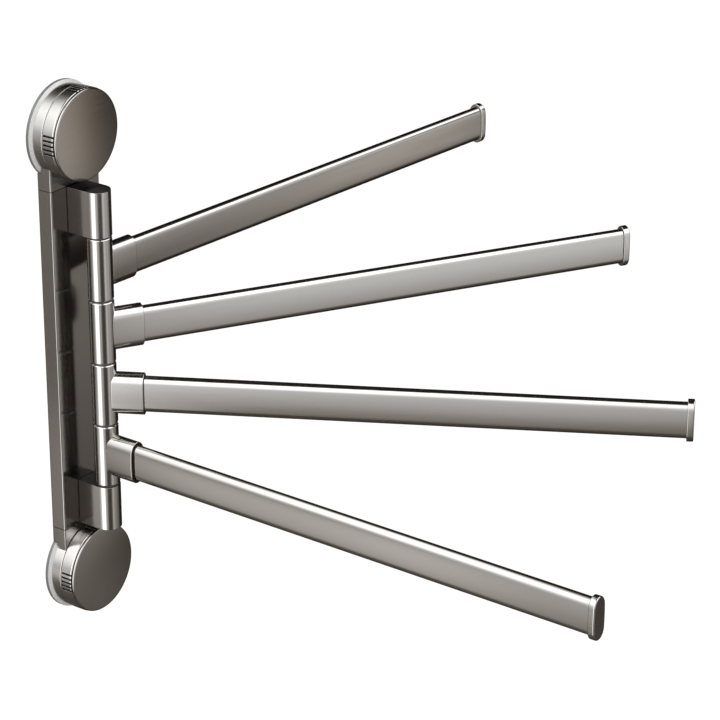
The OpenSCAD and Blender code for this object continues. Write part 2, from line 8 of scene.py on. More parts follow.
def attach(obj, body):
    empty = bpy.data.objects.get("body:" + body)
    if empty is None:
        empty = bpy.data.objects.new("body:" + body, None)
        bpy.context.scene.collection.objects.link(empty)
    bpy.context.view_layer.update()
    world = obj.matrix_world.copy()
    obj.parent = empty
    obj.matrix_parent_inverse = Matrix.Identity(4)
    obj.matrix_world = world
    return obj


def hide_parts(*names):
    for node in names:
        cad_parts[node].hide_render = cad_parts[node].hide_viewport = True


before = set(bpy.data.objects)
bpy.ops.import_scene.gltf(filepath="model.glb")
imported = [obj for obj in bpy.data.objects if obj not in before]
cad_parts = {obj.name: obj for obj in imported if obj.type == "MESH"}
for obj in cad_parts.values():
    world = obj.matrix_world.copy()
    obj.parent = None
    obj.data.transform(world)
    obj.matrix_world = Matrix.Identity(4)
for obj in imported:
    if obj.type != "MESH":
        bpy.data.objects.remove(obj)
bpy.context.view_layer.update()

# Sizes that the new pieces share with the CAD, in millimetres
MM = 0.001
PIVOT_OUT = 26
HUB_PITCH = 38.1
HUB_HEIGHT = 37.3
HUB_RADIUS = 7.3
HUB_BORE_RADIUS = 4.2
SOCKET_HEIGHT = 25.6
SOCKET_THICK = 11.6
SOCKET_END = 23.4
BAR_HEIGHT = 22
BAR_THICK = 8
BAR_START = 12
BAR_END = 329.7
CAP_HEIGHT = 25.6
CAP_THICK = 11
CAP_END = 333.7
STACK_END = 76.6
BRACKET_HEIGHT = 27
BRACKET_RADIUS = 7.5
PLATE_WIDTH = 41
PLATE_END = 103.6
PLATE_FRONT = 10
KNOB_HEIGHT = 133.7
CUP_RADIUS = 28.2
STUD_ROOM_RADIUS = 9
HOUSING_RADIUS = 26.4
HOUSING_INSIDE_RADIUS = 24.2
HOUSING_BACK = 3.5
HOUSING_WEB = 7.6
HOUSING_FRONT = 10
RING_RADIUS = 26.7
RING_BACK = 10.3
RING_FRONT = 18.3
GROOVE_BACK = 11
DISC_RADIUS = 26.4
DISC_BACK = 19.1
DISC_FRONT = 20.5
# Where the photograph has each arm, in degrees to the right of straight out from the wall
ARM_ANGLES = {1: 84, 2: 59, 3: 29, 4: -1}
# The flat tubes' sides are faintly crowned, as rolled flat tube is: a larger number is flatter
CROWN = 110
FLAT = 1e6


def linear(hex_colour):
    """An sRGB hex colour as the linear colour that Blender works in."""
    parts = [int(hex_colour[i:i + 2], 16) / 255 for i in (1, 3, 5)]
    return [p / 12.92 if p <= 0.04045 else ((p + 0.055) / 1.055) ** 2.4 for p in parts] + [1]


def grey(level):
    """A light level, where 1 is white, as a colour."""
    return (level, level, level, 1)


def add(tree, kind, feeds=None, **settings):
    """Adds one node: its settings by name, and its inputs as values or as sockets to link."""
    made = tree.nodes.new("ShaderNode" + kind)
    for name, value in settings.items():
        setattr(made, name, value)
    for socket, value in (feeds or {}).items():
        if isinstance(value, bpy.types.NodeSocket):
            tree.links.new(value, made.inputs[socket])
        else:
            made.inputs[socket].default_value = value
    return made


def set_ramp(ramp, stops):
    """Gives a colour ramp its stops, as pairs of a place and a light level or a colour."""
    keys = ramp.color_ramp.elements
    while len(keys) < len(stops):
        keys.new(0.5)
    for key, (place, level) in zip(keys, stops):
        key.position = place
        key.color = grey(level) if isinstance(level, (int, float)) else level


def new_material(name):
    """An empty material with its output."""
    material = bpy.data.materials.new(name)
    material.use_nodes = True
    material.node_tree.nodes.clear()
    return material, material.node_tree, add(material.node_tree, "OutputMaterial")


def facing(azimuth, height):
    """The unit direction at an azimuth, from -Y towards +X, and a height above the horizon."""
    a, h = math.radians(azimuth), math.radians(height)
    return Vector((math.sin(a) * math.cos(h), -math.cos(a) * math.cos(h), math.sin(h)))


# Camera

def stand_camera():
    """The photograph's viewpoint: a long lens, 1.95 m away, to the left and above."""
    azimuth, height, roll = -54.53, 23.532, 0.117
    distance, nudge = 1.9525, 0.0003
    back = facing(azimuth, height)
    tilt = math.radians(roll)
    right = (-back).cross(Vector((0, 0, 1))).normalized()
    up = right.cross(-back)
    right, up = (right * math.cos(tilt) + up * math.sin(tilt),
                 up * math.cos(tilt) - right * math.sin(tilt))
    aim = Vector((0.28739, 0.0008, -0.10752)) + right * nudge - up * nudge
    camera = bpy.data.objects.new("camera", bpy.data.cameras.new("camera"))
    camera.data.sensor_width = 36
    camera.data.lens = 148.425
    camera.data.clip_end = 60
    turned_to = Matrix((right, up, back)).transposed().to_4x4()
    camera.matrix_world = Matrix.Translation(aim + back * distance) @ turned_to
    bpy.context.scene.collection.objects.link(camera)
    bpy.context.scene.camera = camera


# Studio

def only_in_gloss(thing):
    """A reflector that shows in the metal and lights nothing else."""
    thing.visible_camera = False
    thing.visible_diffuse = False
    thing.visible_transmission = False
    thing.visible_volume_scatter = False
    thing.visible_shadow = False


def stage_piece(name, shape, material):
    """Puts a bmesh in the scene as part of the studio."""
    mesh = bpy.data.meshes.new(name)
    shape.to_mesh(mesh)
    shape.free()
    mesh.materials.append(material)
    thing = bpy.data.objects.new(name, mesh)
    bpy.context.scene.collection.objects.link(thing)
    return thing


def is_seen(tree):
    """1 where the camera looks straight, off a mirror or through a clear piece, and else 0."""
    path = add(tree, "LightPath")
    seen = add(tree, "Math", {0: path.outputs["Is Camera Ray"], 1: path.outputs["Is Glossy Ray"]},
               operation="MAXIMUM")
    seen = add(tree, "Math", {0: seen.outputs[0], 1: path.outputs["Is Transmission Ray"]},
               operation="MAXIMUM")
    return seen.outputs[0]


def lay_floor():
    """A white studio floor, far below the part, with a glow that only what sees it gets."""
    half_width, drop, extra_light = 40, 6, 0.5
    material, tree, out = new_material("white_studio_floor")
    coat = add(tree, "BsdfPrincipled", {"Base Color": linear("#f4f4f4"), "Roughness": 0.9,
                                        "Specular IOR Level": 0.1})
    lift = add(tree, "Math", {0: is_seen(tree), 1: extra_light}, operation="MULTIPLY")
    glow = add(tree, "Emission", {"Color": grey(1), "Strength": lift.outputs[0]})
    both = add(tree, "AddShader", {0: coat.outputs[0], 1: glow.outputs[0]})
    tree.links.new(both.outputs[0], out.inputs["Surface"])
    shape = bmesh.new()
    bmesh.ops.create_grid(shape, x_segments=1, y_segments=1, size=half_width)
    bmesh.ops.translate(shape, verts=shape.verts, vec=(0, 0, -drop))
    stage_piece("floor", shape, material)


def light_world():
    """Even white light all round, and pure white where it is seen."""
    room_light, seen_white = 0.62, 1.0
    world = bpy.data.worlds.new("white_studio")
    world.use_nodes = True
    tree = world.node_tree
    tree.nodes.clear()
    strength = add(tree, "MapRange", {"Value": is_seen(tree), "To Min": room_light,
                                      "To Max": seen_white})
    light = add(tree, "Background", {"Color": grey(1), "Strength": strength.outputs[0]})
    out = add(tree, "OutputWorld")
    tree.links.new(light.outputs[0], out.inputs["Surface"])
    bpy.context.scene.world = world


def hang_lamp():
    """One large soft lamp above and a little to the left, for shape on the dull pieces."""
    lamp = bpy.data.lights.new("overhead_softbox", "AREA")
    lamp.shape = "RECTANGLE"
    lamp.size = 1.6
    lamp.size_y = 1.6
    lamp.energy = 22
    thing = bpy.data.objects.new("overhead_softbox", lamp)
    spot = Vector((-0.9, -1.1, 1.9))
    thing.matrix_world = (Matrix.Translation(spot)
                          @ spot.to_track_quat("Z", "Y").to_matrix().to_4x4())
    thing.visible_glossy = False
    bpy.context.scene.collection.objects.link(thing)


# How bright the light tent is, going round it: for each direction, pairs of a height in
# degrees and the grey, out of 255, that the satin metal shows when it mirrors that place.
# A tall strip box stands at the left, softboxes hang in a band from behind round the left to
# the front right, and the ceiling and the far right are unlit. Greys past 255 are lamps,
# brighter than white. All of it was set to get the bands that the photograph shows.
TENT = {
    -180: [(-90, 60), (-20, 65), (-14, 118), (8, 118), (15, 68), (40, 80), (48, 100), (54, 205),
           (61, 250), (65, 120), (69, 35)],
    -165: [(-90, 65), (-35, 75), (-20, 100), (-12, 120), (15, 120), (40, 170), (48, 240),
           (61, 265), (65, 80), (69, 35)],
    -148: [(-90, 65), (-45, 75), (-20, 90), (10, 150), (25, 195), (38, 260), (57, 280), (63, 60),
           (69, 35)],
    -134: [(-90, 65), (-45, 80), (-28, 90), (-20, 102), (-9, 135), (2, 145), (14, 192), (22, 205),
           (32, 258), (57, 280), (64, 60), (69, 35)],
    -128: [(-90, 65), (-45, 85), (-28, 105), (-20, 112), (-9, 145), (2, 160), (13, 225), (28, 280),
           (57, 285), (64, 60), (69, 35)],
    -122: [(-90, 65), (-45, 92), (-28, 136), (-20, 141), (-9, 157), (2, 168), (13, 230), (28, 285),
           (58, 285), (65, 60), (69, 35)],
    -112: [(-90, 60), (-48, 80), (-38, 110), (-27, 155), (-20, 185), (10, 240), (30, 280),
           (60, 280), (66, 60), (70, 35)],
    -105: [(-90, 60), (-50, 70), (-42, 250), (-20, 290), (60, 285), (66, 60), (70, 35)],
    -79: [(-90, 60), (-50, 70), (-42, 250), (-20, 295), (60, 290), (66, 60), (70, 35)],
    -75: [(-90, 60), (-48, 70), (-36, 140), (-27, 190), (-20, 240), (10, 260), (40, 285), (62, 285),
          (68, 60), (72, 35)],
    -71: [(-90, 60), (-45, 75), (-32, 98), (-24, 145), (-16, 180), (-4, 190), (8, 240), (16, 275),
          (40, 285), (66, 285), (73, 70), (77, 35)],
    -62: [(-90, 60), (-45, 80), (-32, 108), (-24, 155), (-16, 174), (-4, 176), (8, 195), (22, 240),
          (36, 280), (68, 285), (75, 70), (79, 35)],
    -55: [(-90, 60), (-45, 80), (-30, 95), (-21, 140), (-12, 165), (0, 175), (10, 190), (24, 230),
          (38, 275), (66, 275), (73, 70), (77, 35)],
    -47: [(-90, 60), (-45, 75), (-28, 60), (-20, 68), (-12, 130), (0, 175), (24, 205), (34, 140),
          (42, 80), (70, 60), (74, 35)],
    -28: [(-90, 60), (-45, 75), (-30, 55), (-18, 58), (-10, 130), (0, 175), (24, 205), (34, 130),
          (42, 75), (69, 60), (73, 35)],
    -18: [(-90, 60), (-50, 75), (-30, 75), (-18, 85), (-10, 150), (0, 182), (20, 208), (34, 270),
          (64, 285), (69, 60), (73, 35)],
    -11: [(-90, 60), (-50, 85), (-34, 120), (-24, 160), (-17, 182), (0, 188), (18, 205), (28, 265),
          (36, 295), (67, 290), (72, 70), (76, 35)],
    0: [(-90, 60), (-50, 85), (-34, 125), (-24, 162), (-17, 186), (0, 190), (20, 192), (29, 260),
        (36, 295), (67, 290), (72, 70), (76, 35)],
    10: [(-90, 60), (-50, 80), (-32, 95), (-22, 140), (-14, 158), (10, 168), (24, 195), (34, 285),
         (67, 290), (72, 70), (76, 35)],
    22: [(-90, 60), (-45, 65), (-30, 90), (-22, 155), (-12, 155), (10, 158), (24, 185), (34, 255),
         (46, 285), (65, 285), (71, 60), (75, 35)],
    33: [(-90, 60), (-45, 60), (-30, 80), (-22, 145), (-12, 138), (10, 150), (24, 185), (32, 250),
         (42, 290), (62, 285), (68, 60), (73, 35)],
    38: [(-90, 55), (-45, 45), (-28, 62), (-21, 95), (-15, 120), (-4, 124), (15, 168), (24, 190),
         (30, 255), (38, 295), (57, 285), (64, 60), (70, 35)],
    43: [(-90, 55), (-45, 38), (-28, 110), (-22, 128), (-16, 158), (-4, 172), (12, 180), (21, 185),
         (28, 255), (36, 300), (53, 290), (60, 60), (70, 35)],
    46: [(-90, 55), (-45, 38), (-31, 85), (-27, 85), (-23, 130), (-20, 148), (-16, 100), (-12, 85),
         (10, 100), (23, 105), (29, 260), (34, 300), (50, 290), (57, 60), (70, 35)],
    50: [(-90, 55), (-45, 38), (-31, 95), (-26, 62), (-22, 110), (-17, 45), (10, 40), (24, 40),
         (29, 210), (33, 300), (48, 290), (55, 60), (70, 35)],
    56: [(-90, 50), (-45, 38), (-31, 70), (-25, 45), (-20, 55), (-15, 35), (10, 38), (24, 40),
         (28, 240), (32, 300), (47, 290), (53, 60), (64, 35)],
    65: [(-90, 50), (-45, 38), (-23, 38), (-8, 32), (20, 38), (26, 70), (31, 285), (43, 285),
         (48, 70), (54, 35)],
    74: [(-90, 45), (-21, 28), (-14, 95), (2, 95), (10, 28), (30, 45), (35, 150), (41, 170),
         (46, 60), (54, 35)],
    86: [(-90, 45), (-21, 28), (-14, 105), (4, 105), (12, 24), (34, 30), (41, 60), (46, 55),
         (52, 35)],
    98: [(-90, 45), (-21, 35), (-14, 108), (4, 108), (14, 18), (45, 22), (60, 35)],
    125: [(-90, 50), (-21, 50), (-14, 108), (4, 108), (13, 10), (26, 12), (40, 35), (60, 35)],
    150: [(-90, 60), (-21, 60), (-14, 112), (6, 112), (17, 36), (45, 50), (54, 70), (60, 60),
          (65, 35)],
    166: [(-90, 60), (-21, 60), (-14, 115), (8, 115), (18, 56), (40, 65), (50, 85), (56, 160),
          (61, 170), (66, 35)],
}
WHITE = 255
# The power that turns a grey on the screen into an amount of light
SCREEN_POWER = 2.2
# The satin metal's own lightness, which turns those greys into light
METAL_LEVEL = 0.43
# The brightest grey that the tent's ramps hold, as a share of white
LAMP_GREY = 1.25
# The unlit room's light is warm and the softboxes are a cool white, by the ramps' greys
TENT_TONES = [(0.0, (1.0, 0.9, 0.8, 1)), (0.22, (1.0, 0.91, 0.81, 1)),
              (0.32, (1.0, 0.935, 0.87, 1)), (0.42, (1.0, 0.97, 0.945, 1)),
              (0.52, (0.965, 0.985, 1.0, 1)), (0.9, (0.93, 0.975, 1.0, 1))]


def hang_tent():
    """The light tent that the metal mirrors."""
    radius, lower_half = 16, 0.36
    material, tree, out = new_material("light_tent")
    point = add(tree, "TexCoord").outputs["Object"]
    way = add(tree, "VectorMath", {0: point}, operation="NORMALIZE")
    axes = add(tree, "SeparateXYZ", {0: way.outputs[0]})
    height = add(tree, "MapRange", {"Value": axes.outputs["Z"], "From Min": -1, "From Max": 1})
    toward = add(tree, "Math", {0: axes.outputs["Y"], 1: -1}, operation="MULTIPLY")
    bearing = add(tree, "Math", {0: axes.outputs["X"], 1: toward.outputs[0]},
                  operation="ARCTAN2")
    bearing = add(tree, "Math", {0: bearing.outputs[0], 1: 180 / math.pi}, operation="MULTIPLY")
    stations = sorted(TENT.items()) + [(180, TENT[-180])]
    level, last = None, None
    for azimuth, stops in stations:
        wall = add(tree, "ValToRGB", {"Fac": height.outputs[0]})
        set_ramp(wall, [((math.sin(math.radians(up)) + 1) / 2, shown / WHITE / LAMP_GREY)
                        for up, shown in stops])
        if level:
            share = add(tree, "MapRange", {"Value": bearing.outputs[0], "From Min": last,
                                           "From Max": azimuth})
            wall = add(tree, "MixRGB", {0: share.outputs[0], 1: level, 2: wall.outputs[0]})
        level, last = wall.outputs[0], azimuth
    bright = add(tree, "Math", {0: level, 1: SCREEN_POWER}, operation="POWER")
    strength = add(tree, "Math", {0: bright.outputs[0],
                                  1: LAMP_GREY ** SCREEN_POWER / METAL_LEVEL},
                   operation="MULTIPLY")
    tone = add(tree, "ValToRGB", {"Fac": level})
    set_ramp(tone, TENT_TONES)
    glow = add(tree, "Emission", {"Color": tone.outputs[0], "Strength": strength.outputs[0]})
    tree.links.new(glow.outputs[0], out.inputs["Surface"])
    material.cycles.emission_sampling = "NONE"
    shape = bmesh.new()
    bmesh.ops.create_icosphere(shape, subdivisions=5, radius=radius)
    # the lower half is flattened, to stay above the floor
    bmesh.ops.scale(shape, verts=[vert for vert in shape.verts if vert.co.z < 0],
                    vec=(1, 1, lower_half))
    only_in_gloss(stage_piece("light_tent", shape, material))


def hang_scrim(name, spot, aim, width, tall, shown, soft, tint=(1, 1, 1, 1)):
    """A see-through glowing scrim at a spot, turned to face another, all in metres.

    It adds the grey shown, out of 255, and its edges fade over a share of its size."""
    material, tree, out = new_material(name)
    axes = add(tree, "SeparateXYZ", {0: add(tree, "TexCoord").outputs["UV"]})
    cover = None
    for socket in ("X", "Y"):
        off = add(tree, "Math", {0: axes.outputs[socket], 1: 0.5}, operation="SUBTRACT")
        off = add(tree, "Math", {0: off.outputs[0]}, operation="ABSOLUTE")
        edge = add(tree, "MapRange", {"Value": off.outputs[0], "From Min": 0.5,
                                      "From Max": 0.5 - soft}, interpolation_type="SMOOTHSTEP")
        if cover:
            edge = add(tree, "Math", {0: cover.outputs[0], 1: edge.outputs[0]},
                       operation="MULTIPLY")
        cover = edge
    light = add(tree, "Math", {0: cover.outputs[0],
                               1: (shown / WHITE) ** SCREEN_POWER / METAL_LEVEL},
                operation="MULTIPLY")
    glow = add(tree, "Emission", {"Color": tint, "Strength": light.outputs[0]})
    both = add(tree, "AddShader", {0: add(tree, "BsdfTransparent").outputs[0], 1: glow.outputs[0]})
    tree.links.new(both.outputs[0], out.inputs["Surface"])
    material.cycles.emission_sampling = "NONE"
    spot, aim = Vector(spot), Vector(aim)
    shape = bmesh.new()
    bmesh.ops.create_grid(shape, x_segments=1, y_segments=1, size=0.5, calc_uvs=True)
    bmesh.ops.scale(shape, verts=shape.verts, vec=(width, tall, 1))
    bmesh.ops.transform(shape, verts=shape.verts, matrix=Matrix.Translation(spot)
                        @ (aim - spot).to_track_quat("Z", "Y").to_matrix().to_4x4())
    uv = shape.loops.layers.uv.verify()
    for face in shape.faces:
        for loop, corner in zip(face.loops, ((0, 0), (1, 0), (1, 1), (0, 1))):
            loop[uv].uv = corner
    only_in_gloss(stage_piece(name, shape, material))


# Finishes

# The real brush and lathe lines are about 0.1 mm apart, too fine to show from here, so they are
# drawn coarser, 0.8 to 1.2 mm apart
FINE_LINES = 0.0008
BRUSH_LINES = 0.0009
MICRON = 0.000001


def turned_grain(tree, centre, axis, spacing):
    """Fine lines round an axis, as a lathe or a brush leaves them, 0 to 1."""
    point = add(tree, "TexCoord").outputs["Object"]
    moved = add(tree, "VectorMath", {0: point, 1: centre}, operation="SUBTRACT")
    axes = add(tree, "SeparateXYZ", {0: moved.outputs[0]})
    across = [axes.outputs[n] for n in "XYZ" if n != axis]
    flat = add(tree, "CombineXYZ", {0: across[0], 1: across[1]})
    radius = add(tree, "VectorMath", {0: flat.outputs[0]}, operation="LENGTH")
    bearing = add(tree, "Math", {0: across[0], 1: across[1]}, operation="ARCTAN2")
    # a line changes slowly as it goes round
    slow = add(tree, "Math", {0: bearing.outputs[0], 1: spacing * 0.6}, operation="MULTIPLY")
    lines = add(tree, "CombineXYZ", {0: axes.outputs[axis], 1: radius.outputs["Value"],
                                     2: slow.outputs[0]})
    return add(tree, "TexNoise", {"Vector": lines.outputs[0], "Scale": 1 / spacing, "Detail": 3,
                                  "Roughness": 0.65}).outputs["Fac"]


def drawn_grain(tree, azimuth, spacing, stretch):
    """Fine lines along a level direction, as a die or a belt leaves them, 0 to 1.

    The direction is in degrees from +X, and a line is a number of times as long as wide."""
    point = add(tree, "TexCoord").outputs["Object"]
    lines = add(tree, "Mapping", {"Vector": point, "Rotation": (0, 0, math.radians(azimuth)),
                                  "Scale": (stretch, 1, 1)}, vector_type="TEXTURE")
    return add(tree, "TexNoise", {"Vector": lines.outputs[0], "Scale": 1 / spacing, "Detail": 3,
                                  "Roughness": 0.6}).outputs["Fac"]


def metal(name, colour, roughness, grain, microns, spread=0.04):
    """A bare or plated metal whose grain shifts its gloss and stands some microns proud."""
    material, tree, out = new_material(name)
    lines = grain(tree)
    gloss = add(tree, "MapRange", {"Value": lines, "From Min": 0.25, "From Max": 0.75,
                                   "To Min": roughness - spread, "To Max": roughness + spread})
    bump = add(tree, "Bump", {"Height": lines, "Strength": 1.0, "Distance": microns * MICRON})
    shader = add(tree, "BsdfPrincipled", {
        "Base Color": linear(colour), "Metallic": 1.0, "Roughness": gloss.outputs[0],
        "Normal": bump.outputs[0]})
    tree.links.new(shader.outputs[0], out.inputs["Surface"])
    return material


def plastic(name, colour, roughness, **more):
    """A moulded plastic with the faint orange peel of its mould, about 1 mm across."""
    peel_size, peel_microns, spread = 1 / 900, 4, 0.04
    material, tree, out = new_material(name)
    point = add(tree, "TexCoord").outputs["Object"]
    peel = add(tree, "TexNoise", {"Vector": point, "Scale": 1 / peel_size, "Detail": 2})
    gloss = add(tree, "MapRange", {"Value": peel.outputs["Fac"], "From Min": 0.3, "From Max": 0.7,
                                   "To Min": roughness - spread, "To Max": roughness + spread})
    bump = add(tree, "Bump", {"Height": peel.outputs["Fac"], "Strength": 1.0,
                              "Distance": peel_microns * MICRON})
    feeds = {"Base Color": linear(colour), "Roughness": gloss.outputs[0],
             "Normal": bump.outputs[0], "IOR": 1.49}
    feeds.update({socket.replace("_", " "): value for socket, value in more.items()})
    shader = add(tree, "BsdfPrincipled", feeds)
    tree.links.new(shader.outputs[0], out.inputs["Surface"])
    return material


def give(material, *names):
    """Puts a finish on CAD nodes that keep their own shape."""
    for name in names:
        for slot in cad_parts[name].material_slots:
            slot.material = material


# Shapes, in millimetres in a space of their own, until place() sets them in the frame

def turn(profile, closed=False, steps=160):
    """Turns a profile of (radius, height) points round z."""
    shape = bmesh.new()
    verts = [shape.verts.new((radius, 0, height)) for radius, height in profile]
    loop = verts + verts[:1] if closed else verts
    edges = [shape.edges.new(pair) for pair in zip(loop, loop[1:])]
    bmesh.ops.spin(shape, geom=verts + edges, cent=(0, 0, 0), axis=(0, 0, 1), angle=2 * math.pi,
                   steps=steps, use_merge=True)
    bmesh.ops.remove_doubles(shape, verts=shape.verts, dist=0.001)
    bmesh.ops.recalc_face_normals(shape, faces=shape.faces)
    return shape


def round_corner(radius, height, size, steps=6):
    """The profile points of a quarter round about a centre, from its outside to its front."""
    return [(radius + size * math.cos(n / steps * math.pi / 2),
             height + size * math.sin(n / steps * math.pi / 2)) for n in range(steps + 1)]


def raise_face(shape, face, vector):
    """Extrudes a face and moves the new one."""
    grown = bmesh.ops.extrude_face_region(shape, geom=[face])["geom"]
    bmesh.ops.translate(shape, vec=vector,
                        verts=[g for g in grown if isinstance(g, bmesh.types.BMVert)])
    return [g for g in grown if isinstance(g, bmesh.types.BMFace)][0]


def soften(shape, width, segments=3, over=35, where=None):
    """Rounds the edges that are sharper than an angle."""
    edges = [edge for edge in shape.edges if edge.is_manifold
             and edge.calc_face_angle() > math.radians(over) and (where is None or where(edge))]
    bmesh.ops.bevel(shape, geom=edges, offset=width, offset_type="OFFSET", segments=segments,
                    profile=0.5, affect="EDGES", material=-1, clamp_overlap=True)


def oval_block(height, thick, start, end, crown=CROWN):
    """Upright obround block along z, whose flat sides are faintly crowned."""
    shape = bmesh.new()
    steps = 64
    bmesh.ops.create_circle(shape, cap_ends=False, segments=steps, radius=thick / 2,
                            matrix=Matrix.Rotation(math.pi / steps, 4, "Z"))
    for vert in shape.verts:
        vert.co.y += math.copysign((height - thick) / 2, vert.co.y)
    sides = [edge for edge in shape.edges if edge.calc_length() > (height - thick) / 2]
    bmesh.ops.subdivide_edges(shape, edges=sides, cuts=14)
    for vert in shape.verts:
        vert.co.x *= 1 - vert.co.y ** 2 / (crown * thick)
    bmesh.ops.translate(shape, vec=(0, 0, start), verts=shape.verts)
    face = bmesh.ops.edgeloop_fill(shape, edges=shape.edges)["faces"][0]
    raise_face(shape, face, (0, 0, end - start))
    bmesh.ops.recalc_face_normals(shape, faces=shape.faces)
    return shape


def at_height(*heights):
    """Picks the edges that lie level at one of some heights."""
    return lambda edge: any(all(abs(vert.co.z - z) < 0.01 for vert in edge.verts)
                            for z in heights)


def combine(shape, other, way):
    """Cuts one shape out of another, or makes one solid of them."""
    things = []
    for part in (shape, other):
        mesh = bpy.data.meshes.new("block")
        part.to_mesh(mesh)
        part.free()
        things.append(bpy.data.objects.new("block", mesh))
        bpy.context.scene.collection.objects.link(things[-1])
    cut = things[0].modifiers.new("cut", "BOOLEAN")
    cut.operation, cut.solver, cut.object = way, "EXACT", things[1]
    result = bmesh.new()
    result.from_object(things[0], bpy.context.evaluated_depsgraph_get())
    for thing in things:
        mesh = thing.data
        bpy.data.objects.remove(thing)
        bpy.data.meshes.remove(mesh)
    return result


def join(shape, *others):
    """Adds other shapes to the first."""
    for other in others:
        mesh = bpy.data.meshes.new("joining")
        other.to_mesh(mesh)
        other.free()
        shape.from_mesh(mesh)
        bpy.data.meshes.remove(mesh)
    return shape


ALONG = Matrix(((0, 0, 1, 0), (1, 0, 0, 0), (0, 1, 0, 0), (0, 0, 0, 1)))


def on_arm(arm):
    """From an arm's own space, x out along it from the pivot, to the frame."""
    height = (2.5 - arm) * HUB_PITCH
    return (Matrix.Translation((0, -PIVOT_OUT * MM, height * MM))
            @ Matrix.Rotation(math.radians(ARM_ANGLES[arm] - 90), 4, "Z") @ Matrix.Scale(MM, 4))


def on_wall(height):
    """From a space whose z is the distance from the wall to the frame, at a height."""
    return (Matrix.Translation((0, 0, height * MM)) @ Matrix.Rotation(math.pi / 2, 4, "X")
            @ Matrix.Scale(MM, 4))


def place(name, shape, matrix, body, nodes, slot, *finishes, sharp=32):
    """Sets a shape in the frame as a piece that stands for CAD nodes."""
    bmesh.ops.transform(shape, matrix=matrix, verts=shape.verts)
    if matrix.determinant() < 0:
        bmesh.ops.reverse_faces(shape, faces=shape.faces)
    mesh = bpy.data.meshes.new(name)
    shape.to_mesh(mesh)
    shape.free()
    mesh.shade_smooth()
    mesh.set_sharp_from_angle(angle=math.radians(sharp))
    for finish in finishes:
        mesh.materials.append(finish)
    piece = bpy.data.objects.new(name, mesh)
    bpy.context.scene.collection.objects.link(piece)
    even = piece.modifiers.new("even_shading", "WEIGHTED_NORMAL")
    even.keep_sharp = True
    even.weight = 100
    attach(piece, body)
    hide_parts(*nodes)
    return piece


def paint(shape, index, where):
    """Gives the faces whose middles a test picks another of the piece's finishes."""
    for face in shape.faces:
        if where(face.calc_center_median()):
            face.material_index = index


def make_hub(arm, finish, shade_finish):
    """A turned hub with the socket that takes the flat tube."""
    half, chamfer = HUB_HEIGHT / 2, 0.6
    hub = turn([(HUB_BORE_RADIUS, -half), (HUB_RADIUS - chamfer, -half),
                (HUB_RADIUS, chamfer - half), (HUB_RADIUS, half - chamfer),
                (HUB_RADIUS - chamfer, half), (HUB_BORE_RADIUS, half)], closed=True)
    soften(hub, 0.15, 2, over=30)
    # the socket is a block rounded at both ends, run into the hub, with a bore at its mouth
    socket_start, rim_width, mouth_depth = 4.7, 1, 5
    socket = oval_block(SOCKET_HEIGHT, SOCKET_THICK, socket_start, SOCKET_END)
    soften(socket, 0.45, 4, over=60)
    mouth = max(socket.faces, key=lambda face: face.calc_center_median().z)
    bmesh.ops.inset_region(socket, faces=[mouth], thickness=rim_width, use_even_offset=True,
                           use_boundary=True)
    raise_face(socket, mouth, (0, 0, -mouth_depth))
    # the inside of the mouth and its flat rim get the dark dull plating: painted shade
    mouth_floor, bevel_start = SOCKET_END - mouth_depth, SOCKET_END - 0.45
    paint(socket, 1, lambda spot: mouth_floor - 0.2 < spot.z < bevel_start - 0.9
          or spot.z > SOCKET_END - 0.01)
    bmesh.ops.transform(socket, matrix=ALONG, verts=socket.verts)
    place("arm_%d_hub" % arm, join(hub, socket), on_arm(arm), "arm_%d" % arm,
          ["arm_hub_%d" % arm], "arm_metal", finish, shade_finish)


def make_bar(arm, finish):
    """The flat tube and the cap on its end, which mirror the studio and not one another."""
    tube = oval_block(BAR_HEIGHT, BAR_THICK, BAR_START, BAR_END)
    tube = place("arm_%d_tube" % arm, tube, on_arm(arm) @ ALONG, "arm_%d" % arm,
                 ["arm_bar_%d" % arm], "arm_metal", finish)
    tube.visible_glossy = False
    cap = oval_block(CAP_HEIGHT, CAP_THICK, BAR_END, CAP_END)
    soften(cap, 0.45, 3, over=60, where=at_height(BAR_END))
    soften(cap, 0.8, 5, over=60)
    cap = place("arm_%d_cap" % arm, cap, on_arm(arm) @ ALONG, "arm_%d" % arm,
                ["end_cap_%d" % arm], "plated_plastic", finish)
    cap.visible_glossy = False


